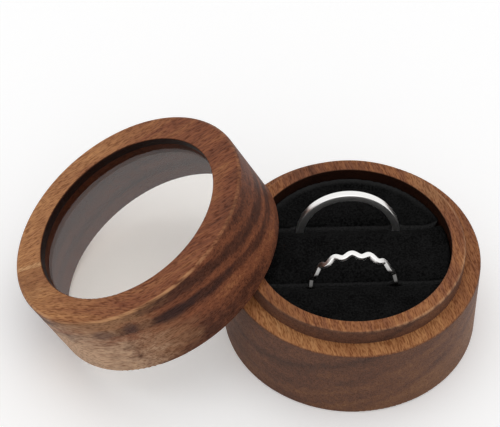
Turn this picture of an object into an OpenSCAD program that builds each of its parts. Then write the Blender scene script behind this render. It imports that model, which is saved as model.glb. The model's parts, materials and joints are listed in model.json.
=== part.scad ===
// Round ring display box: a turned wooden base with a padded, slotted insert, two finger
// rings standing in the slots, and a lift-off lid with a glass window that leans on the base.
// Millimetres. +Z up. The origin is the centre of the base's underside and the slots run along X.

/* [Turned box] */
// Outer diameter of the base and the lid
box_d = 60; // [54:0.5:90]
// Height of the base up to the shoulder that the lid sits on
base_h = 21; // [18:0.5:32]
// Height of the spigot that the lid drops over
spigot_h = 4.2; // [3:0.1:7]
// Wall of the spigot
spigot_wall = 3.2; // [2:0.1:4.5]
// Thickness of the base's floor
floor_t = 4; // [2.5:0.1:6]
// Wall of the lid round its mouth
lid_wall = 3.2; // [2:0.1:4]
// Gap all round between the spigot and the lid's mouth
lid_clearance = 0.6; // [0.2:0.05:0.9]
// Rounding of the outer turned edges
edge_r = 0.4; // [0.1:0.05:0.8]
// Rounding of the spigot's and the mouth's edges
fine_edge_r = 0.25; // [0.1:0.05:0.5]

/* [Window lid] */
// Height of the lid
lid_h = 19.2; // [14:0.2:30]
// Width of the flat wooden ring round the window
top_ring_w = 7; // [5.6:0.1:10]
// Thickness of the wooden ring above the glass
top_ring_t = 2; // [1.2:0.1:4]
// Rounding of the lid's top outer edge
top_edge_r = 1; // [0.2:0.05:1.6]
// Thickness of the window glass
glass_t = 1.2; // [1:0.1:3]
// How far the glass reaches under the wooden ring
glass_lap = 2.4; // [1:0.1:2.6]
// Gap all round between the glass and its recess
glass_clearance = 0.2; // [0.1:0.05:0.4]
// Width of the clear adhesive bead that holds the glass
bead_w = 1.9; // [1:0.1:2.4]
// Height of the adhesive bead
bead_h = 0.7; // [0.3:0.05:0.9]

/* [Padded insert] */
// How far the velvet lies below the rim of the base
velvet_drop = 3; // [1.5:0.1:5]
// Thickness of the card that the strips are glued to
card_t = 1.2; // [0.8:0.1:2]
// Thickness of the velvet, pile included
velvet_t = 0.8; // [0.5:0.05:1.2]
// Gap between the insert and the wall of the base
insert_gap = 0.25; // [0.1:0.05:0.6]
// Distance between the two slots
slot_pitch = 17.2; // [14:0.1:22]
// How far the pair of slots sits behind the centre
slot_shift = -0.6; // [-2:0.1:2]
// Width of a slot where no ring parts it
slot_gap = 0.6; // [0.3:0.05:1.2]
// Rounding of the strips' edges along the slots
lip_r = 1.6; // [1:0.1:2.4]
// Rounding of the insert's edge along the wall
pad_edge_r = 1.4; // [1:0.1:2]
// Gap that the padding leaves round a ring
ring_room = 0.3; // [0.2:0.05:0.5]

/* [Plain ring] */
// Outer diameter of the plain ring
plain_d = 24.4; // [19:0.1:25]
// Width of the plain band
plain_w = 1.9; // [1.5:0.05:3]
// Thickness of the plain band
plain_t = 1.7; // [1:0.05:2.2]
// Rounding of the plain band's edges
plain_edge_r = 0.2; // [0.1:0.05:0.45]
// How far the plain ring leans back in its slot, in degrees
plain_lean = 9; // [0:1:10]
// How far the plain ring's centre lies below the velvet
plain_sink = 2.4; // [0:0.1:3]
// How far the plain ring stands to the right of the middle
plain_offset = -0.5; // [-3:0.1:3]

/* [Wavy ring] */
// Outer diameter of the wavy ring
wavy_d = 20.8; // [18:0.1:24]
// Width of the wavy band
wavy_w = 1.4; // [1:0.05:1.8]
// Thickness of the wavy band
wavy_t = 1; // [0.8:0.05:1.5]
// Height of the waves from trough to crest, on the band's centre line
wave_h = 1.1; // [0.4:0.05:1.6]
// Number of waves round the band
wave_count = 15; // [9:1:21]
// Where one crest lies, in degrees clockwise from the top
wave_turn = -3.5; // [-12:0.5:12]
// How far the wavy ring leans back in its slot, in degrees
wavy_lean = 6; // [0:1:10]
// How far the wavy ring's centre lies below the velvet
wavy_sink = 1.4; // [0:0.1:3]
// How far the wavy ring stands to the right of the middle
wavy_offset = -0.3; // [-3:0.1:3]

/* [Leaning lid] */
// Direction in which the lid lies from the base, in degrees from +X
lean_heading = 175; // [150:1:210]
// Half angle between the two places where the spigot carries the lid, in degrees
lean_contact = 30; // [28:1:36]
// Gap left between the lid and the spigot where they meet
lean_gap = 0.15; // [0.05:0.05:0.4]

/* [Hidden] */
$fn = 96;
over = 1;                                   // how far a cutting shape runs past a face
box_r = box_d / 2;
mouth_r = box_r - lid_wall;
spigot_r = mouth_r - lid_clearance;
bore_r = spigot_r - spigot_wall;
rim_z = base_h + spigot_h;
window_r = box_r - top_ring_w;
glass_r = min(window_r + glass_lap, mouth_r - glass_clearance - bead_w / 2);
glass_seat_r = glass_r + glass_clearance;
ledge_z = lid_h - top_ring_t - glass_t;     // underside of the glass, from the lid's mouth
card_z = floor_t + card_t;                  // top of the card
velvet_z = rim_z - velvet_drop;             // top of the velvet
pad_r = bore_r - insert_gap;
front_slot_y = slot_shift - slot_pitch / 2;
rear_slot_y = slot_shift + slot_pitch / 2;
plain_r = plain_d / 2;
wavy_r = wavy_d / 2;
wavy_span = wave_h + wavy_w;                // whole width that the wavy band sweeps
wave_steps = 8;                             // sections along one wave
band_sides = 8;                             // sides of the wavy band's section
band_square = 0.8;                          // 1 makes the section an ellipse, less squares it up

// Centre of a ring that leans back through its slot. It stands higher where the padding
// under it would otherwise be thinner than pocket_floor.
pocket_floor = 0.4;
function ring_centre(x, slot_y, sink, lean, r) =
    let (z = max(velvet_z - sink, card_z + pocket_floor + velvet_t + ring_room + r))
    [x, slot_y + (z - velvet_z) * tan(lean), z];
plain_at = ring_centre(plain_offset, rear_slot_y, plain_sink, plain_lean, plain_r);
wavy_at = ring_centre(wavy_offset, front_slot_y, wavy_sink, wavy_lean, wavy_r);

// The lid stands on one point of its mouth edge and leans on the spigot's edge at two
// points, lean_contact either side of its heading, just where that edge enters the mouth.
support_half_w = spigot_r * sin(lean_contact);
support_reach = sqrt(pow(mouth_r + fine_edge_r, 2) - pow(support_half_w, 2));
support_arm = box_r - edge_r + support_reach;
lean_tilt = asin((rim_z + lean_gap - edge_r) / norm([support_arm, edge_r]))
    + atan(edge_r / support_arm);
lean_out = spigot_r * cos(lean_contact) + support_reach * cos(lean_tilt);
lean_z = (box_r - edge_r) * sin(lean_tilt) + edge_r * (1 - cos(lean_tilt));
lean_at = [lean_out * cos(lean_heading), lean_out * sin(lean_heading), lean_z];

// What a quarter round takes off a corner: turn 0 rounds a top outer corner,
// 90 a top inner one, 180 a bottom inner one and 270 a bottom outer one.
module eased_corner(corner, turn, r)
    translate(corner) rotate(turn) difference() {
        translate([-r, -r]) square(r + over);
        translate([-r, -r]) circle(r);
    }

module base_profile() difference() {
    union() {
        square([box_r, base_h]);
        square([spigot_r, rim_z]);
    }
    translate([0, floor_t]) square([bore_r, rim_z]);
    eased_corner([box_r, 0], 270, edge_r);
    eased_corner([box_r, base_h], 0, edge_r);
    eased_corner([spigot_r, rim_z], 0, fine_edge_r);
    eased_corner([bore_r, rim_z], 90, fine_edge_r);
}

module lid_profile() difference() {
    square([box_r, lid_h]);
    translate([0, -over]) square([mouth_r, ledge_z + over]);
    translate([0, -over]) square([glass_seat_r, ledge_z + glass_t + over]);
    square([window_r, lid_h + over]);
    eased_corner([box_r, 0], 270, edge_r);
    eased_corner([mouth_r, 0], 180, fine_edge_r);
    eased_corner([box_r, lid_h], 0, top_edge_r);
    eased_corner([window_r, lid_h], 90, fine_edge_r);
}

// Carries the lid's own frame, with its mouth on z = 0, to where the lid leans.
module leaning() translate(lean_at) rotate([0, lean_tilt, lean_heading]) children();

// The whole insert before it is cut into strips, made smaller all round by inset.
module pad_blank(inset) rotate_extrude() difference() {
    translate([0, card_z]) square([pad_r - inset, velvet_z - inset - card_z]);
    eased_corner([pad_r - inset, velvet_z - inset], 0, pad_edge_r - inset);
}

// One strip of the insert between two slots, with its lips rounded.
module strip(front_y, rear_y, inset) intersection() {
    pad_blank(inset);
    rotate([90, 0, 90]) linear_extrude(box_d, center = true) difference() {
        translate([front_y + inset, card_z])
            square([rear_y - front_y - 2 * inset, velvet_z - inset - card_z]);
        eased_corner([rear_y - inset, velvet_z - inset], 0, lip_r - inset);
        eased_corner([front_y + inset, velvet_z - inset], 90, lip_r - inset);
    }
}

// Space that a ring presses into the padding, open upwards along the ring's own plane.
module ring_space(at, lean, r, w) translate(at) rotate([-lean, 0, 0]) {
    rotate([90, 0, 0]) cylinder(r = r, h = w, center = true);
    translate([-r, -w / 2, 0]) cube([2 * r, w, r]);
}

module ring_spaces(room) {
    ring_space(plain_at, plain_lean, plain_r + room, plain_w + 2 * room);
    ring_space(wavy_at, wavy_lean, wavy_r + room, wavy_span + 2 * room);
}

module foam_strip(front_y, rear_y) difference() {
    strip(front_y, rear_y, velvet_t);
    ring_spaces(ring_room + velvet_t);
}

// The velvet wraps its foam on the top and the sides, and lines the space of each ring.
module velvet_strip(front_y, rear_y) difference() {
    strip(front_y, rear_y, 0);
    foam_strip(front_y, rear_y);
    ring_spaces(ring_room);
}

// Points of the wavy band: its section stays square to a centre line that swings along the axis.
function wave_axial(turn) = wave_h / 2 * cos(wave_count * (turn - wave_turn));
function wave_slope(turn) = -wave_h / 2 * wave_count * sin(wave_count * (turn - wave_turn));
function squared(value) = sign(value) * pow(abs(value), band_square);
function band_point(turn, side) =
    let (mid_r = wavy_r - wavy_t / 2,
        pitch = atan(wave_slope(turn) / mid_r),
        out = mid_r + wavy_t / 2 * squared(cos(side)),
        across = wavy_w / 2 * squared(sin(side)),
        round_turn = turn - across * sin(pitch) / mid_r * 180 / PI)
    [out * sin(round_turn), wave_axial(turn) + across * cos(pitch), out * cos(round_turn)];

module wavy_band() {
    sections = wave_count * wave_steps;
    points = [for (i = [0:sections - 1]) for (k = [0:band_sides - 1])
        band_point(360 * i / sections, 360 * (k + 0.5) / band_sides)];
    faces = [for (i = [0:sections - 1]) for (k = [0:band_sides - 1])
        let (here = i * band_sides, next = (i + 1) % sections * band_sides, up = (k + 1) % band_sides)
        each [[here + k, here + up, next + up], [here + k, next + up, next + k]]];
    polyhedron(points, faces);
}

module base_body() color("#6b4a3a") rotate_extrude() base_profile();

module insert_card() color("#b9ab90")
    translate([0, 0, floor_t]) cylinder(r = pad_r, h = card_t);

module foam_front() color("#d8d4c6") foam_strip(-box_r, front_slot_y - slot_gap / 2);
module foam_middle() color("#d8d4c6")
    foam_strip(front_slot_y + slot_gap / 2, rear_slot_y - slot_gap / 2);
module foam_rear() color("#d8d4c6") foam_strip(rear_slot_y + slot_gap / 2, box_r);

module velvet_front() color("#111214") velvet_strip(-box_r, front_slot_y - slot_gap / 2);
module velvet_middle() color("#111214")
    velvet_strip(front_slot_y + slot_gap / 2, rear_slot_y - slot_gap / 2);
module velvet_rear() color("#111214") velvet_strip(rear_slot_y + slot_gap / 2, box_r);

module lid_body() color("#7a4d36") leaning() rotate_extrude() lid_profile();

module window_glass() color("#dfe6e6", 0.35) leaning()
    translate([0, 0, ledge_z]) cylinder(r = glass_r, h = glass_t);

module glass_bead() color("#e8e6df", 0.6) leaning() rotate_extrude() intersection() {
    bead_mid = glass_r + glass_clearance / 2;
    bead_round = (bead_w * bead_w / 4 + bead_h * bead_h) / (2 * bead_h);
    translate([bead_mid, ledge_z - bead_h + bead_round]) circle(bead_round);
    translate([bead_mid - bead_w / 2, ledge_z - bead_h]) square([bead_w, bead_h]);
}

module ring_plain() color("#c9c9cc") translate(plain_at) rotate([90 - plain_lean, 0, 0])
    rotate_extrude() difference() {
        translate([plain_r - plain_t, -plain_w / 2]) square([plain_t, plain_w]);
        eased_corner([plain_r, plain_w / 2], 0, plain_edge_r);
        eased_corner([plain_r - plain_t, plain_w / 2], 90, plain_edge_r);
        eased_corner([plain_r - plain_t, -plain_w / 2], 180, plain_edge_r);
        eased_corner([plain_r, -plain_w / 2], 270, plain_edge_r);
    }

module ring_wavy() color("#c9c9cc") translate(wavy_at) rotate([-wavy_lean, 0, 0]) wavy_band();

base_body();
insert_card();
foam_front();
foam_middle();
foam_rear();
velvet_front();
velvet_middle();
velvet_rear();
lid_body();
window_glass();
glass_bead();
ring_plain();
ring_wavy();
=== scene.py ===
# Round walnut ring box with a glazed lid: its finishes, the two bands and the padding, with a lamp, a pale
# floor and a camera.
import json
import math

import bmesh
import bpy
import numpy as np
from mathutils import Euler, Matrix, Vector, noise


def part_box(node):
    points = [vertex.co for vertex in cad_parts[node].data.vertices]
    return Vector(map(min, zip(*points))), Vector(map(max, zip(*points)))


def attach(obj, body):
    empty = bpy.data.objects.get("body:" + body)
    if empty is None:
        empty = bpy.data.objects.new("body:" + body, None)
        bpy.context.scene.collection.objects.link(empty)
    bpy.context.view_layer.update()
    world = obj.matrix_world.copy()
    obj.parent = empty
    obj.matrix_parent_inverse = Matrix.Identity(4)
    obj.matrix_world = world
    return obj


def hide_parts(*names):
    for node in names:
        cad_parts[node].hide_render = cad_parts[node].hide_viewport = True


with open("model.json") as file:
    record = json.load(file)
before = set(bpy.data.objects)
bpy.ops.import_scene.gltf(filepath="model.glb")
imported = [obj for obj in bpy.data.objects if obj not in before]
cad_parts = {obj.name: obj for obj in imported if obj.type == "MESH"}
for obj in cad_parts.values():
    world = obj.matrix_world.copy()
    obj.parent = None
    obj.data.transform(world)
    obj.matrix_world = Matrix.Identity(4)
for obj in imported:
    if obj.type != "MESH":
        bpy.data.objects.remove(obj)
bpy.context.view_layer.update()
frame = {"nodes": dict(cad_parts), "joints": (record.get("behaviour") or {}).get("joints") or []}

mm = 0.001


def linear(hexColour):      # "#rrggbb" as sRGB, turned into linear RGBA
    parts = [int(hexColour[i:i + 2], 16) / 255 for i in (1, 3, 5)]
    return [c / 12.92 if c <= 0.04045 else ((c + 0.055) / 1.055) ** 2.4 for c in parts] + [1.0]


def addNode(tree, kind, inputs, stops=(), **settings):      # an input is a value, a socket or a node
    node = tree.nodes.new(kind)
    for name, value in settings.items():
        setattr(node, name, value)
    for key, value in inputs.items():
        named = (socket for socket in node.inputs if socket.enabled and socket.name == key)
        socket = node.inputs[key] if isinstance(key, int) else next(named)
        if isinstance(value, bpy.types.Node):
            value = next(output for output in value.outputs if output.enabled)
        if isinstance(value, bpy.types.NodeSocket):
            tree.links.new(value, socket)
        else:
            socket.default_value = value
    for i, (place, colour) in enumerate(stops):
        ramp = node.color_ramp.elements
        stop = ramp[i] if i < 2 else ramp.new(place)
        stop.position = place
        stop.color = linear(colour) if isinstance(colour, str) else (colour, colour, colour, 1)
    return node


def newMaterial(name):
    material = bpy.data.materials.new(name)
    material.use_nodes = True
    material.node_tree.nodes.clear()
    return material, material.node_tree


def dress(name, material):      # a CAD node keeps its shape and takes this finish
    mesh = frame["nodes"][name].data
    mesh.materials.clear()
    mesh.materials.append(material)


def readPoints(mesh):
    points = np.empty(len(mesh.vertices) * 3)
    mesh.vertices.foreach_get("co", points)
    return points.reshape(-1, 3)


def writePoints(mesh, points):
    mesh.vertices.foreach_set("co", np.ascontiguousarray(points, dtype=np.float32).ravel())
    mesh.update()


def nodePoints(name):      # a CAD node's corners, in metres
    return readPoints(frame["nodes"][name].data)


def applied(obj):      # the mesh that its modifiers make of it; they are taken off
    depsgraph = bpy.context.evaluated_depsgraph_get()
    mesh = bpy.data.meshes.new_from_object(obj.evaluated_get(depsgraph), depsgraph=depsgraph)
    obj.modifiers.clear()
    return mesh


# Where the lid leans: its mouth's centre and its turn, read from the flat glass
def lidPlace():
    glass = nodePoints("window_glass")
    axis = np.linalg.svd(glass - glass.mean(0), full_matrices=False)[2][2]
    axis *= math.copysign(1, axis[2])
    turn = Euler((0, math.acos(axis[2]), math.atan2(axis[1], axis[0])))
    matrix = np.array(turn.to_matrix())
    local = glass @ matrix
    middle = (local.min(0) + local.max(0)) / 2
    middle[2] = (nodePoints("lid_body") @ matrix)[:, 2].min()
    return Vector(matrix @ middle), turn


def turnedSizes(name, place, turn):      # radii and heights round a turned piece's own axis, in mm
    local = (nodePoints(name) - np.array(place)) @ np.array(turn.to_matrix()) / mm
    return np.hypot(local[:, 0], local[:, 1]), local[:, 2]


wallShare = 0.95      # corners further out than this share of the radius belong to the outer wall
lidAt, lidTurn = lidPlace()
baseAt, baseTurn = Vector((0, 0, 0)), Euler((0, 0, 0))
lidHeight = turnedSizes("lid_body", lidAt, lidTurn)[1].max()
baseRadii, baseHeights = turnedSizes("base_body", baseAt, baseTurn)
outerRadius = baseRadii.max()
rimHeight = baseHeights.max()
shoulderHeight = baseHeights[baseRadii > wallShare * outerRadius].max()
spigotRadius = baseRadii[baseHeights > (shoulderHeight + rimHeight) / 2].max()
print("frame read: lid at", [round(v / mm, 2) for v in lidAt], "tilt", round(math.degrees(lidTurn[1]), 2))


# Walnut, turned on the lathe and oiled: soft growth layers lie nearly flat in the disc, and fibres and
# open pores run one way through it, so the same grain shows as dashes on top and as dots at the ends
walnutLook = dict(
    # each pattern's size along the fibre, across it and up in mm, then its detail and its roughness
    layer=((50.0, 16.667, 2.2222), 3.0, 0.55),
    patch=((25.0, 9.0909, 6.6667), 2.0, 0.50),
    streak=((11.111, 0.90909, 0.90909), 3.0, 0.60),
    dash=((1.4286, 0.26316, 0.26316), 1.5, 0.50),      # pores, drawn coarser than they are so that they show
    ragged=((3.3333, 2.2222, 2.2222), 3.0, 0.60),
    swaySize=28.571, sway=(0.0, 3.0, 3.0),      # over what length the fibre wanders, and how far, in mm
    bendSoft=6.0, dipFloor=-40.0, dipSoft=10.0,      # mm
    dashFrom=0.44, dashTo=0.66, dashTint="#bba99c",
    raggedShare=1.2, blotchFade=(1.0, 1.9),      # how torn a mark's edge is, and where in its reach it fades
    insideEdge=0.1,      # mm
    edgeCore=0.3,      # share of the painted highlight's width that has its full colour
    edgeFacing=(0.1, 0.9), edgeLeast=0.22, edgeBroken=(0.35, 0.60),
    roughness=0.50, roughnessSwing=0.16, specular=0.10,
    bumpHeight=0.05,      # mm
)
# In both: bend is a slope, the stretch over which it grows and where it starts; a layer is a height in mm
# and its tone; a blotch is a place and a reach in mm, a colour, a share, and the kind of face it lies on;
# an inside wall is its radius in mm, its painted shade tint and how far it is evened out; the painted
# edge highlight is in mm too
lidWalnut = dict(
    walnutLook, fibreTurn=math.radians(20), bend=(0.68, 6.0, 22.0, -6.0), offset=(11.0, 4.0, 2.0),
    dipFloor=3.0, dashEnds=0.80,
    stops=[(0.05, "#2b1a15"), (0.25, "#5a3526"), (0.40, "#885137"), (0.52, "#a16b46"), (0.65, "#bd8658"),
           (0.85, "#dcab7a")],
    top=dict(dip=(-0.22, 0.03), layers=[
        (12, 0.72), (13, 0.69), (14.5, 0.62), (16, 0.58), (18.6, 0.47), (20.3, 0.42), (24, 0.42),
        (25.2, 0.33), (27, 0.34)]),
    side=dict(dip=(0.025, -0.344), layers=[
        (-14, 0.24), (-6, 0.25), (-3, 0.28), (-1.5, 0.32), (0.5, 0.38), (2.2, 0.34), (3.0, 0.20),
        (4.4, 0.20), (5.4, 0.37), (6.3, 0.37), (7.6, 0.20), (9.2, 0.20), (10.6, 0.34), (13, 0.29),
        (16, 0.30), (20, 0.36), (30, 0.38)]),
    gains=dict(layer=0.26, patch=0.26, streak=0.34),
    blotches=[
        ((24.5, 11, 19.2), (8, 6, 6), "#966645", 0.30, "flat"),
        ((25.5, 6.4, 19.2), (9, 0.75, 6), "#d9ab7c", 0.60, "flat"),
        ((-6, 28, 6), (9, 7, 6), "#a87a59", 0.60, "side"),
        ((8, 30, 18), (17, 10, 4.5), "#a87c59", 0.85, "side"),
        ((16, 24, 4), (21, 14, 12), "#dfb997", 0.80, "side"),
        ((-5, 29.6, 13.6), (2.6, 4, 3), "#9a6f52", 0.60, "side"),
        ((5.7, 29.4, 14.2), (3.0, 4, 1.8), "#5f453e", 0.55, "side"),
        ((-1.8, 30, 14.5), (2.1, 4, 2.1), "#4f3834", 0.65, "side"),
        ((-13, 27.5, 12.7), (6.5, 6, 1.6), "#33211f", 0.75, "side"),
        ((-21, 21, 10.8), (6, 6, 1.3), "#33211f", 0.50, "side"),
    ],
    # inside walls take a painted shade: each tint darkens the wall inside its radius
    shadedInsides=[(26.9, "#cdb8a2", 0.62), (23.4, "#565250", 0.20)], insideTone=0.36,
    # the edge colour, share and heading set the painted highlight along the top's outer edge
    edgeHighlightColour="#cf9a6d", edgeHighlightShare=0.80, highlightHeading=(0.010, 0.032, 0.0), edgeInset=0.3, edgeWidth=0.55,
)
baseWalnut = dict(
    walnutLook, fibreTurn=math.radians(103), bend=(0.0, 0.0, 1.0, 0.0), offset=(-37.0, 21.0, 9.0),
    dashTint="#c8b8ac", dashEnds=0.7,
    stops=[(0.05, "#33201a"), (0.25, "#5e3a29"), (0.40, "#85543a"), (0.52, "#a36c45"), (0.65, "#bd8657"),
           (0.85, "#d9a877")],
    top=dict(dip=(-0.03, -0.05), layers=[
        (19, 0.46), (20.3, 0.50), (21.3, 0.49), (21.8, 0.54), (22.6, 0.62), (23.4, 0.50), (24, 0.36),
        (25, 0.46), (27, 0.52)]),
    side=dict(dip=(-0.38, -0.125), layers=[
        (-6, 0.54), (3.6, 0.55), (6.0, 0.42), (8.0, 0.50), (9.6, 0.42), (11.4, 0.43), (13.2, 0.47),
        (16, 0.36), (19, 0.42), (21.4, 0.40), (23.0, 0.28), (24.8, 0.40), (31, 0.36)]),
    gains=dict(layer=0.22, patch=0.20, streak=0.42),
    blotches=[
        # this first mark, on the rim's left front beside the leaning lid, is painted shade
        ((-18.7, -17.9, 25.2), (8, 6, 3), "#6b4128", 0.35, "flat"),
        ((19.3, 15.9, 25.2), (6, 8, 3), "#c08f62", 0.35, "flat"),
        ((-4, 24, 25.2), (12, 5, 3), "#6b4434", 0.20, "flat"),
    ],
    # side faces turn greyer and darker: darker end grain and a painted sheen
    sideSheenAndGrainColour="#52443e", sideSheenAndGrainShare=0.56,
    # the inside wall takes a painted shade: its tint darkens the wall inside its radius
    shadedInsides=[(23.2, "#6c5c54", 0.30)], insideTone=0.38,
    # the edge colour, share and heading set the painted highlight along the spigot's top outer edge
    edgeHighlightColour="#cfa078", edgeHighlightShare=0.5, highlightHeading=(0.030, -0.010, 0.0), edgeInset=0.0, edgeWidth=0.70,
)


# Places in the piece's own mm, the patterns drawn along its fibres, and how far a face stands on its side
def woodGrain(tree, look, place, turn):
    spot = addNode(tree, "ShaderNodeTexCoord", {})
    own = addNode(tree, "ShaderNodeMapping", {"Vector": spot.outputs["Object"], "Location": place,
                  "Rotation": turn, "Scale": (mm, mm, mm)}, vector_type="TEXTURE")
    ownNormal = addNode(tree, "ShaderNodeMapping", {"Vector": spot.outputs["Normal"], "Rotation": turn},
                        vector_type="TEXTURE")
    axes = addNode(tree, "ShaderNodeSeparateXYZ", {"Vector": own}).outputs
    outward = addNode(tree, "ShaderNodeCombineXYZ", {"X": axes["X"], "Y": axes["Y"]})
    radius = addNode(tree, "ShaderNodeVectorMath", {0: outward}, operation="LENGTH").outputs["Value"]

    # The fibres bend in one corner and wander slowly
    fibre = addNode(tree, "ShaderNodeMapping", {"Vector": own, "Rotation": (0, 0, -look["fibreTurn"])})
    slope, bendFrom, bendTo, bendStart = look["bend"]
    share = addNode(tree, "ShaderNodeMapRange", {"Value": axes["Y"], "From Min": bendFrom,
                    "From Max": bendTo, "To Max": slope}, interpolation_type="SMOOTHSTEP")
    past = addNode(tree, "ShaderNodeMath", {0: axes["X"], 1: bendStart}, operation="SUBTRACT")
    past = addNode(tree, "ShaderNodeMath", {0: past, 1: 0.0, 2: look["bendSoft"]}, operation="SMOOTH_MAX")
    bend = addNode(tree, "ShaderNodeMath", {0: past, 1: share}, operation="MULTIPLY")
    bend = addNode(tree, "ShaderNodeCombineXYZ", {"Y": bend})
    fanned = addNode(tree, "ShaderNodeVectorMath", {0: fibre, 1: bend}, operation="ADD")
    shifted = addNode(tree, "ShaderNodeVectorMath", {0: fanned, 1: look["offset"]}, operation="ADD")
    wander = addNode(tree, "ShaderNodeTexNoise", {"Vector": shifted, "Scale": 1 / look["swaySize"],
                     "Detail": 1.0})
    swing = addNode(tree, "ShaderNodeVectorMath", {0: wander.outputs["Color"], 1: (0.5, 0.5, 0.5)},
                    operation="SUBTRACT")
    swing = addNode(tree, "ShaderNodeVectorMath", {0: swing, 1: look["sway"]}, operation="MULTIPLY")
    swayed = addNode(tree, "ShaderNodeVectorMath", {0: swing, 1: shifted}, operation="ADD")
    patterns = {}
    for part in ("layer", "patch", "streak", "dash", "ragged"):
        size, detail, roughness = look[part]
        drawn = addNode(tree, "ShaderNodeMapping", {"Vector": swayed, "Scale": size},
                        vector_type="TEXTURE")
        patterns[part] = addNode(tree, "ShaderNodeTexNoise", {"Vector": drawn, "Scale": 1.0,
                                 "Detail": detail, "Roughness": roughness})

    up = addNode(tree, "ShaderNodeSeparateXYZ", {"Vector": ownNormal}).outputs["Z"]
    flat = addNode(tree, "ShaderNodeMath", {0: up, 1: up}, operation="MULTIPLY")
    side = addNode(tree, "ShaderNodeMath", {0: 1.0, 1: flat}, operation="SUBTRACT")
    return dict(own=own, axes=axes, radius=radius, swing=swing, patterns=patterns, flat=flat, side=side)


def shadedInsideWalls(tree, look, grain):      # share of each inside wall, its painted shade tint and how far it is evened out
    shadedInsides = []
    for limit, tint, evenness in look["shadedInsides"]:
        within = addNode(tree, "ShaderNodeMapRange", {"Value": grain["radius"], "To Min": 1.0,
                         "To Max": 0.0, "From Min": limit - look["insideEdge"],
                         "From Max": limit + look["insideEdge"]})
        inside = addNode(tree, "ShaderNodeMath", {0: within, 1: grain["side"]}, operation="MULTIPLY")
        shadedInsides.append((inside, tint, evenness))
    return shadedInsides


# Tone: the run of growth layers, which dip to one side, then each pattern by its own share
def woodTone(tree, look, grain, shadedInsides):
    own, axes, side = grain["own"], grain["axes"], grain["side"]
    swingUp = addNode(tree, "ShaderNodeSeparateXYZ", {"Vector": grain["swing"]}).outputs["Z"]
    held = addNode(tree, "ShaderNodeMath", {0: axes["Y"], 1: look["dipFloor"], 2: look["dipSoft"]},
                   operation="SMOOTH_MAX")
    held = addNode(tree, "ShaderNodeCombineXYZ", {"X": axes["X"], "Y": held, "Z": axes["Z"]})
    tones = []
    for face, spot in (("top", own), ("side", held)):
        dip, layers = look[face]["dip"], look[face]["layers"]
        low, high = layers[0][0], layers[-1][0]
        level = addNode(tree, "ShaderNodeVectorMath", {0: spot, 1: dip + (1.0,)}, operation="DOT_PRODUCT")
        level = addNode(tree, "ShaderNodeMath", {0: level.outputs["Value"], 1: swingUp}, operation="ADD")
        level = addNode(tree, "ShaderNodeMapRange", {"Value": level, "From Min": low, "From Max": high})
        stops = [((height - low) / (high - low), grey) for height, grey in layers]
        tones.append(addNode(tree, "ShaderNodeValToRGB", {"Fac": level}, stops=stops))
    tone = addNode(tree, "ShaderNodeMix", {"Factor": side, "A": tones[0], "B": tones[1]}, data_type="RGBA")
    for part, gain in look["gains"].items():
        centred = addNode(tree, "ShaderNodeMath", {0: grain["patterns"][part], 1: 0.5},
                          operation="SUBTRACT")
        tone = addNode(tree, "ShaderNodeMath", {0: centred, 1: gain, 2: tone}, operation="MULTIPLY_ADD")
    for inside, tint, evenness in shadedInsides:      # inside walls keep only a faint figure
        evened = addNode(tree, "ShaderNodeMath", {0: inside, 1: evenness}, operation="MULTIPLY")
        tone = addNode(tree, "ShaderNodeMix", {"Factor": evened, "A": tone, "B": look["insideTone"]})
    return tone


# Sapwood, dark marks in the figure and one patch of painted shade, with ragged edges
def woodMarks(tree, look, grain, colour):
    fadeFrom, fadeTo = look["blotchFade"]
    for middle, reach, mark, share, face in look["blotches"]:
        away = addNode(tree, "ShaderNodeMapping", {"Vector": grain["own"], "Location": middle,
                       "Scale": reach}, vector_type="TEXTURE")
        away = addNode(tree, "ShaderNodeVectorMath", {0: away}, operation="LENGTH").outputs["Value"]
        torn = addNode(tree, "ShaderNodeMath", {0: grain["patterns"]["ragged"], 1: look["raggedShare"],
                       2: away}, operation="MULTIPLY_ADD")
        amount = addNode(tree, "ShaderNodeMapRange", {"Value": torn, "From Min": fadeFrom,
                         "From Max": fadeTo, "To Min": share, "To Max": 0.0},
                         interpolation_type="SMOOTHSTEP")
        amount = addNode(tree, "ShaderNodeMath", {0: amount, 1: grain[face]}, operation="MULTIPLY")
        colour = addNode(tree, "ShaderNodeMix", {"Factor": amount, "A": colour, "B": linear(mark)},
                         data_type="RGBA")
    return colour


# The outer edge of the top takes a painted highlight, strongest on one side and in broken lengths
def paintedEdgeHighlight(tree, look, grain, corner, colour):
    radius, height = corner[0] - look["edgeInset"], corner[1] - look["edgeInset"]
    section = addNode(tree, "ShaderNodeCombineXYZ", {"X": grain["radius"], "Y": grain["axes"]["Z"]})
    away = addNode(tree, "ShaderNodeVectorMath", {0: section, 1: (radius, height, 0)},
                   operation="DISTANCE")
    edgeHighlight = addNode(tree, "ShaderNodeMapRange", {"Value": away.outputs["Value"],
                     "To Min": look["edgeHighlightShare"], "From Min": look["edgeCore"] * look["edgeWidth"],
                     "From Max": look["edgeWidth"], "To Max": 0.0}, interpolation_type="SMOOTHSTEP")
    facing = addNode(tree, "ShaderNodeVectorMath", {0: grain["own"], 1: look["highlightHeading"]},
                     operation="DOT_PRODUCT")
    facing = addNode(tree, "ShaderNodeMapRange", {"Value": facing.outputs["Value"],
                     "To Min": look["edgeLeast"], "From Min": look["edgeFacing"][0],
                     "From Max": look["edgeFacing"][1], "To Max": 1.0}, interpolation_type="SMOOTHSTEP")
    broken = addNode(tree, "ShaderNodeMapRange", {"Value": grain["patterns"]["streak"],
                     "From Min": look["edgeBroken"][0], "From Max": look["edgeBroken"][1]})
    uneven = addNode(tree, "ShaderNodeMath", {0: edgeHighlight, 1: facing}, operation="MULTIPLY")
    uneven = addNode(tree, "ShaderNodeMath", {0: uneven, 1: broken}, operation="MULTIPLY")
    return addNode(tree, "ShaderNodeMix", {"Factor": uneven, "A": colour, "B": linear(look["edgeHighlightColour"])},
                   data_type="RGBA")


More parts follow.
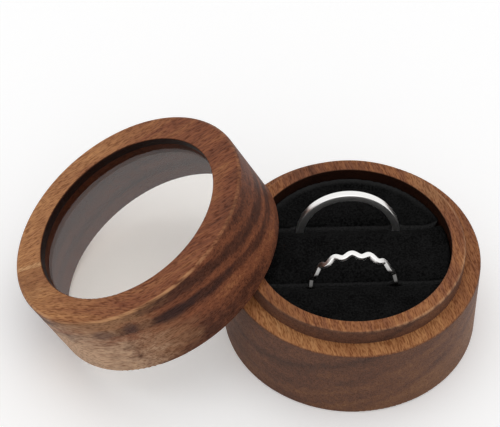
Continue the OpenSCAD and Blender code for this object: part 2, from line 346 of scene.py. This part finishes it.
def walnut(name, look, place, turn, corner):      # corner: radius and height of the edge with the painted highlight, mm
    material, tree = newMaterial(name)
    grain = woodGrain(tree, look, place, turn)
    shadedInsides = shadedInsideWalls(tree, look, grain)
    tone = woodTone(tree, look, grain, shadedInsides)
    colour = addNode(tree, "ShaderNodeValToRGB", {"Fac": tone}, stops=look["stops"])
    colour = woodMarks(tree, look, grain, colour)

    # Faces that stand on their side may be greyer, with darker end grain and a painted sheen, and show fewer
    # pores; those inside are darkened by a painted shade
    side, pattern = grain["side"], grain["patterns"]["dash"]
    pores = addNode(tree, "ShaderNodeMapRange", {"Value": side, "To Min": 1.0, "To Max": look["dashEnds"]})
    dash = addNode(tree, "ShaderNodeMapRange", {"Value": pattern, "From Min": look["dashFrom"],
                   "From Max": look["dashTo"], "To Max": pores}, interpolation_type="SMOOTHSTEP")
    finishes = [(dash, look["dashTint"], "MULTIPLY")]
    finishes += [(inside, tint, "MULTIPLY") for inside, tint, evenness in shadedInsides]
    # side faces mix towards a greyer brown: darker end grain and a painted sheen
    if "sideSheenAndGrainShare" in look:
        sideSheenAndGrain = addNode(tree, "ShaderNodeMath", {0: side, 1: look["sideSheenAndGrainShare"]}, operation="MULTIPLY")
        finishes.insert(0, (sideSheenAndGrain, look["sideSheenAndGrainColour"], "MIX"))
    for share, tint, blend in finishes:
        colour = addNode(tree, "ShaderNodeMix", {"Factor": share, "A": colour, "B": linear(tint)},
                         data_type="RGBA", blend_type=blend)
    colour = paintedEdgeHighlight(tree, look, grain, corner, colour)

    rough = addNode(tree, "ShaderNodeMapRange", {"Value": pattern,
                    "To Min": look["roughness"] - look["roughnessSwing"] / 2,
                    "To Max": look["roughness"] + look["roughnessSwing"] / 2})
    dips = addNode(tree, "ShaderNodeMath", {0: dash, 1: -1.0}, operation="MULTIPLY")
    bump = addNode(tree, "ShaderNodeBump", {"Height": dips, "Strength": 1.0,
                   "Distance": look["bumpHeight"] * mm})
    shader = addNode(tree, "ShaderNodeBsdfPrincipled", {"Base Color": colour, "Roughness": rough,
                     "Normal": bump, "Specular IOR Level": look["specular"]})
    addNode(tree, "ShaderNodeOutputMaterial", {"Surface": shader})
    return material


dress("lid_body", walnut("oiledWalnutLid", lidWalnut, lidAt, lidTurn, (outerRadius, lidHeight)))
dress("base_body", walnut("oiledWalnutBase", baseWalnut, baseAt, baseTurn, (spigotRadius, rimHeight)))
print("walnut made")


# Clear float glass, little more than 1 mm thick, with faint smears; lamps shine through it
glassLook = dict(
    colour="#f4f1ed", roughness=0.006, ior=1.42,
    smearSize=16.667,      # mm
)


def floatGlass(look):
    material, tree = newMaterial("clearFloatGlass")
    spot = addNode(tree, "ShaderNodeTexCoord", {})
    smear = addNode(tree, "ShaderNodeTexNoise", {"Vector": spot.outputs["Object"], "Detail": 2.0,
                    "Scale": 1 / (look["smearSize"] * mm)})
    rough = addNode(tree, "ShaderNodeMapRange", {"Value": smear, "To Min": 0.0,
                    "To Max": look["roughness"]})
    glass = addNode(tree, "ShaderNodeBsdfPrincipled", {"Base Color": linear(look["colour"]),
                    "Roughness": rough, "IOR": look["ior"], "Transmission Weight": 1.0})
    clear = addNode(tree, "ShaderNodeBsdfTransparent", {"Color": linear(look["colour"])})
    path = addNode(tree, "ShaderNodeLightPath", {})
    both = addNode(tree, "ShaderNodeMixShader", {"Fac": path.outputs["Is Shadow Ray"], 1: glass, 2: clear})
    addNode(tree, "ShaderNodeOutputMaterial", {"Surface": both})
    return material


# Clear silicone, laid as a soft bead: less clear than glass and a little cloudy
beadLook = dict(
    colour="#ece9e2", roughness=(0.12, 0.32), ior=1.41, clearness=0.8,
    cloudSize=1.4286, cloudHeight=0.15,      # mm
)


def clearSilicone(look):
    material, tree = newMaterial("clearSilicone")
    spot = addNode(tree, "ShaderNodeTexCoord", {})
    cloud = addNode(tree, "ShaderNodeTexNoise", {"Vector": spot.outputs["Object"], "Detail": 3.0,
                    "Scale": 1 / (look["cloudSize"] * mm)})
    rough = addNode(tree, "ShaderNodeMapRange", {"Value": cloud, "To Min": look["roughness"][0],
                    "To Max": look["roughness"][1]})
    bump = addNode(tree, "ShaderNodeBump", {"Height": cloud, "Strength": 0.6,
                   "Distance": look["cloudHeight"] * mm})
    shader = addNode(tree, "ShaderNodeBsdfPrincipled", {"Base Color": linear(look["colour"]),
                     "Roughness": rough, "IOR": look["ior"], "Transmission Weight": look["clearness"],
                     "Normal": bump})
    addNode(tree, "ShaderNodeOutputMaterial", {"Surface": shader})
    return material


dress("window_glass", floatGlass(glassLook))
dress("glass_bead", clearSilicone(beadLook))


# Grey board, pressed from pulp, out of sight under the foam
boardLook = dict(
    stops=[(0.3, "#8f8674"), (0.7, "#b4aa95")], roughness=0.85,
    pulpSize=1.1111, pulpHeight=0.05,      # mm
)


def greyBoard(look):
    material, tree = newMaterial("greyBoard")
    spot = addNode(tree, "ShaderNodeTexCoord", {})
    pulp = addNode(tree, "ShaderNodeTexNoise", {"Vector": spot.outputs["Object"], "Detail": 4.0,
                   "Scale": 1 / (look["pulpSize"] * mm)})
    colour = addNode(tree, "ShaderNodeValToRGB", {"Fac": pulp}, stops=look["stops"])
    bump = addNode(tree, "ShaderNodeBump", {"Height": pulp, "Strength": 0.5,
                   "Distance": look["pulpHeight"] * mm})
    shader = addNode(tree, "ShaderNodeBsdfPrincipled", {"Base Color": colour,
                     "Roughness": look["roughness"], "Normal": bump})
    addNode(tree, "ShaderNodeOutputMaterial", {"Surface": shader})
    return material


# Open-cell foam, cut from a sheet, out of sight under the velvet
foamLook = dict(
    stops=[(0.0, "#9c988c"), (0.5, "#dedacd")], roughness=0.9,
    cellSize=0.55556, cellDepth=0.3,      # mm
)


def openCellFoam(look):
    material, tree = newMaterial("openCellFoam")
    spot = addNode(tree, "ShaderNodeTexCoord", {})
    cells = addNode(tree, "ShaderNodeTexVoronoi", {"Vector": spot.outputs["Object"],
                    "Scale": 1 / (look["cellSize"] * mm)})
    colour = addNode(tree, "ShaderNodeValToRGB", {"Fac": cells}, stops=look["stops"])
    bump = addNode(tree, "ShaderNodeBump", {"Height": cells, "Strength": 0.8,
                   "Distance": look["cellDepth"] * mm})
    shader = addNode(tree, "ShaderNodeBsdfPrincipled", {"Base Color": colour,
                     "Roughness": look["roughness"], "Normal": bump})
    addNode(tree, "ShaderNodeOutputMaterial", {"Surface": shader})
    return material


dress("insert_card", greyBoard(boardLook))
foam = openCellFoam(foamLook)
for part in ("foam_front", "foam_middle", "foam_rear"):
    dress(part, foam)
print("glass, silicone, board and foam made")


# Black cotton velvet: the pile takes in nearly all light and its tips glint a little. A painted
# sheen lightens its bent edges and the pile along the rear wall
velvetLook = dict(
    dark="#020202", light="#1a1a1a", mottled=(0.50, 0.76), cloudShare=0.25,
    roughness=0.95, specular=0.05, sheen=0.02, sheenRoughness=0.4,
    paintedSheenColour="#6a6a6a", paintedSheen=1.0, bent=(0.05, 0.50),      # painted sheen on the bent edges
    rearSheen=0.20,      # painted sheen on the pile along the rear wall
    rearSheenReach=2.0, rearSheenFrom=8.0, rearSheenTo=20.0,      # in from the wall, and towards the rear, mm
    pileSize=0.45, cloudSize=4.0,      # mm; the real pile is finer than would show
    pileHeight=0.12,      # mm
)


def blackVelvet(look, radius):
    material, tree = newMaterial("blackCottonVelvet")
    spot = addNode(tree, "ShaderNodeTexCoord", {})
    pile = addNode(tree, "ShaderNodeTexNoise", {"Vector": spot.outputs["Object"], "Detail": 3.0,
                   "Roughness": 0.7, "Scale": 1 / (look["pileSize"] * mm)})
    cloud = addNode(tree, "ShaderNodeTexNoise", {"Vector": spot.outputs["Object"], "Detail": 2.0,
                    "Scale": 1 / (look["cloudSize"] * mm)})
    mottle = addNode(tree, "ShaderNodeMath", {0: cloud, 1: look["cloudShare"], 2: pile},
                     operation="MULTIPLY_ADD")
    colour = addNode(tree, "ShaderNodeValToRGB", {"Fac": mottle},
                     stops=list(zip(look["mottled"], (look["dark"], look["light"]))))
    up = addNode(tree, "ShaderNodeSeparateXYZ", {"Vector": spot.outputs["Normal"]}).outputs["Z"]
    bend = addNode(tree, "ShaderNodeMapRange", {"Value": up, "From Min": look["bent"][0],
                   "From Max": look["bent"][1], "To Min": look["paintedSheen"], "To Max": 0.0})
    paintedSheen = addNode(tree, "ShaderNodeMath", {0: bend, 1: pile}, operation="MULTIPLY")

    axes = addNode(tree, "ShaderNodeSeparateXYZ", {"Vector": spot.outputs["Object"]}).outputs
    outward = addNode(tree, "ShaderNodeCombineXYZ", {"X": axes["X"], "Y": axes["Y"]})
    outward = addNode(tree, "ShaderNodeVectorMath", {0: outward}, operation="LENGTH").outputs["Value"]
    nearWall = addNode(tree, "ShaderNodeMapRange", {"Value": outward, "From Max": radius * mm,
                       "From Min": (radius - look["rearSheenReach"]) * mm, "To Max": look["rearSheen"]},
                       interpolation_type="SMOOTHSTEP")
    atRear = addNode(tree, "ShaderNodeMapRange", {"Value": axes["Y"], "From Min": look["rearSheenFrom"] * mm,
                     "From Max": look["rearSheenTo"] * mm})
    rearSheen = addNode(tree, "ShaderNodeMath", {0: nearWall, 1: atRear}, operation="MULTIPLY")
    # painted sheen: on the bent edges and along the rear wall the colour turns grey
    for share in (paintedSheen, rearSheen):
        colour = addNode(tree, "ShaderNodeMix", {"Factor": share, "A": colour,
                         "B": linear(look["paintedSheenColour"])}, data_type="RGBA")
    bump = addNode(tree, "ShaderNodeBump", {"Height": pile, "Strength": 0.7,
                   "Distance": look["pileHeight"] * mm})
    shader = addNode(tree, "ShaderNodeBsdfPrincipled", {"Base Color": colour,
                     "Roughness": look["roughness"], "Specular IOR Level": look["specular"],
                     "Sheen Weight": look["sheen"], "Sheen Roughness": look["sheenRoughness"],
                     "Normal": bump})
    addNode(tree, "ShaderNodeOutputMaterial", {"Surface": shader})
    return material


# Polished sterling silver: white metal with hairline polishing marks. The wavy band carries a painted
# reflection: it is coloured darker just above the velvet, where it would mirror the black pile. Both colour
# runs go from a little under the velvet's level to the top of the ring
silverLook = dict(
    roughness=0.285, swing=0.04,
    markSize=0.66667,      # mm; real polishing marks are finer than would show
    plain=[(0.0, "#f2f1ef"), (1.0, "#f2f1ef")],
    wavy=[(0.0, "#e4e3e1"), (0.13, "#5c5b5a"), (0.43, "#777674"), (0.67, "#c8c7c5"), (0.87, "#f4f3f1")],
    sunk=2.0,      # mm under the velvet's level where the colours start, so that the foot stays bright
)


def polishedSilver(look, stops, low, high):
    material, tree = newMaterial("polishedSilver")
    spot = addNode(tree, "ShaderNodeTexCoord", {})
    marks = addNode(tree, "ShaderNodeTexNoise", {"Vector": spot.outputs["Object"], "Detail": 3.0,
                    "Scale": 1 / (look["markSize"] * mm)})
    rough = addNode(tree, "ShaderNodeMapRange", {"Value": marks,
                    "To Min": look["roughness"] - look["swing"] / 2,
                    "To Max": look["roughness"] + look["swing"] / 2})
    axes = addNode(tree, "ShaderNodeSeparateXYZ", {"Vector": spot.outputs["Object"]}).outputs
    level = addNode(tree, "ShaderNodeMapRange", {"Value": axes["Z"], "From Min": low, "From Max": high})
    colour = addNode(tree, "ShaderNodeValToRGB", {"Fac": level}, stops=stops)
    shader = addNode(tree, "ShaderNodeBsdfPrincipled", {"Base Color": colour, "Metallic": 1.0,
                     "Roughness": rough})
    addNode(tree, "ShaderNodeOutputMaterial", {"Surface": shader})
    return material


def keepPiece(mesh, name, body, node):      # a finished piece, in the place of a CAD node
    form = bmesh.new()
    form.from_mesh(mesh)
    bmesh.ops.remove_doubles(form, verts=form.verts, dist=1e-7)
    bmesh.ops.recalc_face_normals(form, faces=form.faces)
    form.to_mesh(mesh)
    form.free()
    mesh.shade_smooth()
    obj = bpy.data.objects.new(name, mesh)
    bpy.context.scene.collection.objects.link(obj)
    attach(obj, body)
    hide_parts(node)
    return obj


# The two bands, each a rounded section swept round a circle that may swing from side to side
ringLook = dict(
    plain=dict(node="ring_plain", body="plain_ring", joint="plain_ring_lift", fillet=0.16, waves=0,
               waveHeight=0.0, crest=0.0, steps=240, filletSteps=5),      # mm and degrees
    wavy=dict(node="ring_wavy", body="wavy_ring", joint="wavy_ring_lift", fillet=0.18, waves=15,
              waveHeight=1.1, crest=-3.5, steps=480, filletSteps=6),
)


def ringFrame(look):      # the band's own turn, centre and sizes, read from its CAD node and its joint
    joint = next(joint for joint in frame["joints"] if joint["name"] == look["joint"])
    up = Vector(joint["axis"]).normalized()
    across = Vector((1, 0, 0))
    turn = Matrix((across, up, across.cross(up))).transposed()
    local = nodePoints(look["node"]) @ np.array(turn)
    low, high = local.min(0), local.max(0)
    centre = (low + high) / 2
    radii = np.hypot(local[:, 0] - centre[0], local[:, 1] - centre[1])
    return dict(turn=turn, centre=turn @ Vector(centre), outer=radii.max(), inner=radii.min(),
                span=high[2] - low[2])


def bandTree():
    tree = bpy.data.node_groups.new("band", "GeometryNodeTree")
    for name, kind in (("Radius", "Float"), ("Thickness", "Float"), ("Width", "Float"), ("Fillet", "Float"),
                       ("Waves", "Float"), ("Wave Height", "Float"), ("Crest", "Float"), ("Steps", "Int"),
                       ("Fillet Steps", "Int"), ("Finish", "Material")):
        tree.interface.new_socket(name, in_out="INPUT", socket_type="NodeSocket" + kind)
    tree.interface.new_socket("Band", in_out="OUTPUT", socket_type="NodeSocketGeometry")
    given = addNode(tree, "NodeGroupInput", {}).outputs
    circle = addNode(tree, "GeometryNodeCurvePrimitiveCircle", {"Resolution": given["Steps"],
                     "Radius": given["Radius"]}, mode="RADIUS")

    # The centre line swings by a cosine of the angle from the top, half the wave's height each way
    place = addNode(tree, "GeometryNodeInputPosition", {})
    axes = addNode(tree, "ShaderNodeSeparateXYZ", {"Vector": place}).outputs
    angle = addNode(tree, "ShaderNodeMath", {0: axes["X"], 1: axes["Y"]}, operation="ARCTAN2")
    past = addNode(tree, "ShaderNodeMath", {0: angle, 1: given["Crest"]}, operation="SUBTRACT")
    phase = addNode(tree, "ShaderNodeMath", {0: past, 1: given["Waves"]}, operation="MULTIPLY")
    wave = addNode(tree, "ShaderNodeMath", {0: phase}, operation="COSINE")
    reach = addNode(tree, "ShaderNodeMath", {0: given["Wave Height"], 1: -0.5}, operation="MULTIPLY")
    swing = addNode(tree, "ShaderNodeMath", {0: wave, 1: reach}, operation="MULTIPLY")
    offset = addNode(tree, "ShaderNodeCombineXYZ", {"Z": swing})
    line = addNode(tree, "GeometryNodeSetPosition", {"Geometry": circle, "Offset": offset})
    line = addNode(tree, "GeometryNodeSetCurveNormal", {"Curve": line}, mode="Z_UP")

    section = addNode(tree, "GeometryNodeCurvePrimitiveQuadrilateral", {"Width": given["Thickness"],
                      "Height": given["Width"]}, mode="RECTANGLE")
    rounded = addNode(tree, "GeometryNodeFilletCurve", {"Curve": section, "Count": given["Fillet Steps"],
                      "Radius": given["Fillet"]}, mode="POLY")
    band = addNode(tree, "GeometryNodeCurveToMesh", {"Curve": line, "Profile Curve": rounded})
    band = addNode(tree, "GeometryNodeRealizeInstances", {"Geometry": band})
    band = addNode(tree, "GeometryNodeSetMaterial", {"Geometry": band, "Material": given["Finish"]})
    addNode(tree, "NodeGroupOutput", {"Band": band})
    return tree


def grown(tree, values):      # the mesh that a node tree makes from the given values
    host = bpy.data.objects.new("host", bpy.data.meshes.new("host"))
    bpy.context.scene.collection.objects.link(host)
    modifier = host.modifiers.new("grow", "NODES")
    modifier.node_group = tree
    for item in tree.interface.items_tree:
        if item.in_out == "INPUT" and item.name in values:
            modifier[item.identifier] = values[item.name]
    mesh = applied(host)
    bpy.data.objects.remove(host)
    return mesh


ringTree = bandTree()
velvetLevel = nodePoints("velvet_middle")[:, 2].max()
ringPlaces = {}
for name, look in ringLook.items():
    place = ringFrame(look)
    ringPlaces[name] = place
    thickness = place["outer"] - place["inner"]
    lowest, highest = velvetLevel - silverLook["sunk"] * mm, nodePoints(look["node"])[:, 2].max()
    silver = polishedSilver(silverLook, silverLook[name], lowest, highest)
    sizes = {"Radius": place["outer"] - thickness / 2, "Thickness": thickness,
             "Width": place["span"] - look["waveHeight"] * mm, "Fillet": look["fillet"] * mm,
             "Waves": float(look["waves"]), "Wave Height": look["waveHeight"] * mm,
             "Crest": math.radians(look["crest"]), "Steps": look["steps"],
             "Fillet Steps": look["filletSteps"], "Finish": silver}
    mesh = grown(ringTree, sizes)
    mesh.transform(Matrix.Translation(place["centre"]) @ place["turn"].to_4x4())
    keepPiece(mesh, name + "Band", look["body"], look["node"])
print("rings made")


# Padding: three strips, each swollen as stuffed velvet until they meet at the slots
padLook = dict(
    lip=0.42, wallEdge=0.7,      # rounding of the start shape along the slots and along the wall, mm
    inset=0.40, topInset=0.40,      # how much smaller than its bounds it starts, mm
    steps=120, levels=8,      # corners round the start shape and up its rounding
    slot=0.16,      # gap left between two strips, mm
    voxel=0.65,      # mesh size, mm
    pinned=9.0, pinFade=2.0,      # how far below the top it is held, and over what length that sets in, mm
    simScale=20.0, pressure=0.03, frames=20, cap=0.55,      # the swelling stays under cap, mm
    uneven=0.07, unevenSize=5.0,      # mm
    ringGap=0.07, ringReach=1.3,      # gap beside a ring, and how far its push is felt, mm
    ringLimit=3.0, ringSoft=3,      # reaches after which it is no longer felt, and how sharply it sets in
    tucked=3.2, square=10.0,      # how far from the wall it is pressed into the corner, mm, and how squarely
)


def padForm(low, high, radius, look):      # a strip's start shape: a rounded slice of a disc, in mm
    reach = radius - look["inset"]
    front, rear = max(low[1] + look["inset"], -reach), min(high[1] - look["inset"], reach)
    top = high[2] - look["topInset"]
    steps, levels = look["steps"], look["levels"]
    form = bmesh.new()
    rings = []
    for k in range(levels + 1):
        turn = math.pi / 2 * k / levels
        lipIn, wallIn = look["lip"] * (1 - math.cos(turn)), look["wallEdge"] * (1 - math.cos(turn))
        drop = look["lip"] * (1 - math.sin(turn))
        row = []
        for i in range(steps):
            angle = 2 * math.pi * i / steps
            x, y = (reach - wallIn) * math.cos(angle), (reach - wallIn) * math.sin(angle)
            y = min(max(y, front + (lipIn if front > -reach else 0)), rear - (lipIn if rear < reach else 0))
            row.append(form.verts.new((x, y, top - drop)))
        rings.append(row)
    bottom = [form.verts.new((v.co.x, v.co.y, low[2])) for v in rings[0]]
    rings.insert(0, bottom)
    for below, above in zip(rings, rings[1:]):
        for i in range(steps):
            j = (i + 1) % steps
            form.faces.new((below[i], below[j], above[j], above[i]))
    form.faces.new(list(reversed(bottom)))
    form.faces.new(rings[-1])
    bmesh.ops.recalc_face_normals(form, faces=form.faces)
    mesh = bpy.data.meshes.new("padForm")
    form.to_mesh(mesh)
    form.free()
    return mesh


def blownUp(work, start, top, look):      # where cloth under pressure takes the points, its lower part held
    scale = look["simScale"]
    held = work.vertex_groups.new(name="held")
    for i, z in enumerate(start[:, 2] / scale):
        share = (top - look["pinned"] + look["pinFade"] - z) / look["pinFade"]
        held.add([i], min(max(share, 0), 1), "REPLACE")
    cloth = work.modifiers.new("cloth", "CLOTH")
    cloth.settings.vertex_group_mass = "held"
    cloth.settings.use_pressure = True
    cloth.settings.uniform_pressure_force = look["pressure"]
    cloth.settings.effector_weights.gravity = 0
    for step in range(1, look["frames"] + 1):
        bpy.context.scene.frame_set(step)
    moved = readPoints(applied(work)) - start
    bpy.context.scene.frame_set(1)
    far = np.linalg.norm(moved, axis=1, keepdims=True)
    print("pad swelled by up to", round(float(far.max()) / scale, 3), "mm")
    cap = look["cap"] * scale
    return start + moved * np.tanh(far / cap) * cap / np.maximum(far, 1e-9)


def swollen(mesh, top, look):      # remeshed at a size that suits the solver, blown up, and smoothed
    scale = look["simScale"]
    mesh.transform(Matrix.Scale(scale, 4))
    work = bpy.data.objects.new("padWork", mesh)
    bpy.context.scene.collection.objects.link(work)
    remesh = work.modifiers.new("remesh", "REMESH")
    remesh.mode = "VOXEL"
    remesh.voxel_size = look["voxel"] * scale
    work.data = applied(work)
    points = readPoints(work.data)
    points = blownUp(work, points, top, look)
    writePoints(work.data, points / scale)
    smooth = work.modifiers.new("smooth", "SUBSURF")
    smooth.levels = smooth.render_levels = 1
    result = applied(work)
    bpy.data.objects.remove(work)
    return result


def besideRing(points, side, place, ring, look):      # points in mm, pushed clear of a band on one side
    turn = np.array(place["turn"])
    centre = np.array(place["centre"]) / mm @ turn
    local = points @ turn - centre
    angle = np.arctan2(local[:, 0], local[:, 1])
    wave = -ring["waveHeight"] / 2 * np.cos(ring["waves"] * (angle - math.radians(ring["crest"])))
    radii = np.hypot(local[:, 0], local[:, 1])
    away = np.maximum(np.maximum(place["inner"] / mm - radii, radii - place["outer"] / mm), 0)
    near = np.exp(-((away / look["ringReach"]) ** 2)) * (away < look["ringLimit"] * look["ringReach"])
    half = (place["span"] / mm - ring["waveHeight"]) / 2 + look["ringGap"]
    depth = side * (local[:, 2] - wave)      # how far into the strip a point lies, from the band's middle
    needed = half * near
    soft = look["ringSoft"]
    eased = (np.maximum(depth, 0) ** soft + needed ** soft) ** (1 / soft)
    pushed = np.where(depth > 0, eased, np.maximum(depth, needed))
    local[:, 2] = wave + side * pushed
    return (local + centre) @ turn.T


def tuckedIn(points, top, radius, look):      # points in mm, pressed out into the corner along the wall
    size, power = look["tucked"], look["square"]
    radii = np.hypot(points[:, 0], points[:, 1])
    out = np.clip((radii - (radius - size)) / size, 0, None)
    up = np.clip((points[:, 2] - (top - size)) / size, 0, None)
    inCorner = (out > 0) & (up > 0)
    stretch = np.hypot(out, up) / np.maximum((out ** power + up ** power) ** (1 / power), 1e-6)
    stretch = np.where(inCorner, stretch, 1)
    moved = np.where(inCorner, radius - size + out * stretch * size, radii)
    raised = np.minimum(top - size + up * stretch * size, np.maximum(points[:, 2], top))
    points[:, :2] *= (moved / np.maximum(radii, 1e-6))[:, None]
    points[:, 2] = np.where(inCorner, raised, points[:, 2])
    return points


def keptWithin(points, low, high, radius):      # points in mm, held between the slots and inside the wall
    points[:, 1] = np.clip(points[:, 1], low[1], high[1])
    radii = np.hypot(points[:, 0], points[:, 1])
    points[:, :2] *= np.minimum(1, radius / np.maximum(radii, 1e-6))[:, None]
    points[:, 2] = np.maximum(points[:, 2], low[2])
    return points


# Beside which bands each strip lies, and on which side of them: 1 is the front
padRings = dict(front=[("wavy", 1)], middle=[("wavy", -1), ("plain", 1)], rear=[("plain", -1)])
padPlaces = {part: np.array(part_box("velvet_" + part)) / mm for part in padRings}
padRadius = max(abs(v) for box in padPlaces.values() for v in box[:, :2].ravel())
cadSlot = padPlaces["middle"][0][1] - padPlaces["front"][1][1]
slack = (cadSlot - padLook["slot"]) / 2
velvet = blackVelvet(velvetLook, padRadius)
for part, (low, high) in padPlaces.items():
    low, high = low - (0, slack, 0), high + (0, slack, 0)
    mesh = swollen(padForm(low, high, padRadius, padLook), high[2], padLook)
    points = tuckedIn(readPoints(mesh), high[2], padRadius, padLook)
    for i, point in enumerate(points):
        points[i, 2] += noise.noise(Vector(point) / padLook["unevenSize"]) * padLook["uneven"]
    low[1] = -math.inf if part == "front" else low[1]      # at the wall only the wall holds it
    high[1] = math.inf if part == "rear" else high[1]
    points = keptWithin(points, low, high, padRadius)
    for ringName, side in padRings[part]:
        points = besideRing(points, side, ringPlaces[ringName], ringLook[ringName], padLook)
    writePoints(mesh, points * mm)
    mesh.materials.clear()
    mesh.materials.append(velvet)
    pad = keepPiece(mesh, part + "Pad", "base", "velvet_" + part)
print("padding made")


def seenShare(tree):      # 1 where the camera sees it, also in a mirror or through glass, and 0 elsewhere
    path = addNode(tree, "ShaderNodeLightPath", {})
    seen = path.outputs["Is Camera Ray"]
    for ray in ("Is Glossy Ray", "Is Transmission Ray"):
        seen = addNode(tree, "ShaderNodeMath", {0: seen, 1: path.outputs[ray]}, operation="MAXIMUM")
    return seen


# Floor: matt white paper, wide enough for every view
floorLook = dict(
    width=6.0,      # m
    colour="#e6e6e6", seen="#ffffff",      # as it lights the box, and as it is seen
    lift=0.15,      # share of white that is always seen
    roughness=0.9, specular=0.1,
)


def makeFloor(look):
    bpy.ops.mesh.primitive_plane_add(size=look["width"])
    floor = bpy.context.object
    floor.name = "floor"
    material, tree = newMaterial("whitePaper")
    seen = seenShare(tree)
    colour = addNode(tree, "ShaderNodeMix", {"Factor": seen, "A": linear(look["colour"]),
                     "B": linear(look["seen"])}, data_type="RGBA")
    lift = addNode(tree, "ShaderNodeMath", {0: seen, 1: look["lift"]}, operation="MULTIPLY")
    shader = addNode(tree, "ShaderNodeBsdfPrincipled", {"Base Color": colour,
                     "Roughness": look["roughness"], "Specular IOR Level": look["specular"],
                     "Emission Color": (1, 1, 1, 1), "Emission Strength": lift})
    addNode(tree, "ShaderNodeOutputMaterial", {"Surface": shader})
    floor.data.materials.append(material)


# Light: a large soft lamp overhead, in metres and watts, and an even white room
lightLook = dict(place=(0.0, 0.05, 1.1), size=0.9, power=2.2, room=0.70)


def makeLight(look):
    data = bpy.data.lights.new("overhead", "AREA")
    data.size = look["size"]
    data.energy = look["power"]
    lamp = bpy.data.objects.new("overhead", data)
    lamp.location = look["place"]
    lamp.rotation_euler = (-Vector(look["place"])).to_track_quat("-Z", "Y").to_euler()
    bpy.context.scene.collection.objects.link(lamp)
    world = bpy.data.worlds.new("whiteRoom")
    world.use_nodes = True
    tree = world.node_tree
    tree.nodes.clear()
    level = addNode(tree, "ShaderNodeMapRange", {"Value": seenShare(tree), "To Min": look["room"],
                    "To Max": 1.0})
    sky = addNode(tree, "ShaderNodeBackground", {"Color": (1, 1, 1, 1), "Strength": level})
    addNode(tree, "ShaderNodeOutputWorld", {"Surface": sky})
    bpy.context.scene.world = world
    bpy.context.scene.view_settings.view_transform = "Standard"


# Camera: three-quarter view from above, with a long lens; places in mm
cameraLook = dict(place=(-34.6, -323.0, 405.3), aim=(-23.2, 18.7, 15.0), roll=0.18, lens=155.2)


def makeCamera(look):
    data = bpy.data.cameras.new("camera")
    data.lens = look["lens"]
    camera = bpy.data.objects.new("camera", data)
    place = Vector(look["place"]) * mm
    towards = (Vector(look["aim"]) * mm - place).to_track_quat("-Z", "Y").to_matrix()
    turn = towards @ Matrix.Rotation(math.radians(look["roll"]), 3, "Z")
    camera.matrix_world = Matrix.Translation(place) @ turn.to_4x4()
    bpy.context.scene.collection.objects.link(camera)
    bpy.context.scene.camera = camera


makeFloor(floorLook)
makeLight(lightLook)
makeCamera(cameraLook)
print("floor, light and camera made")
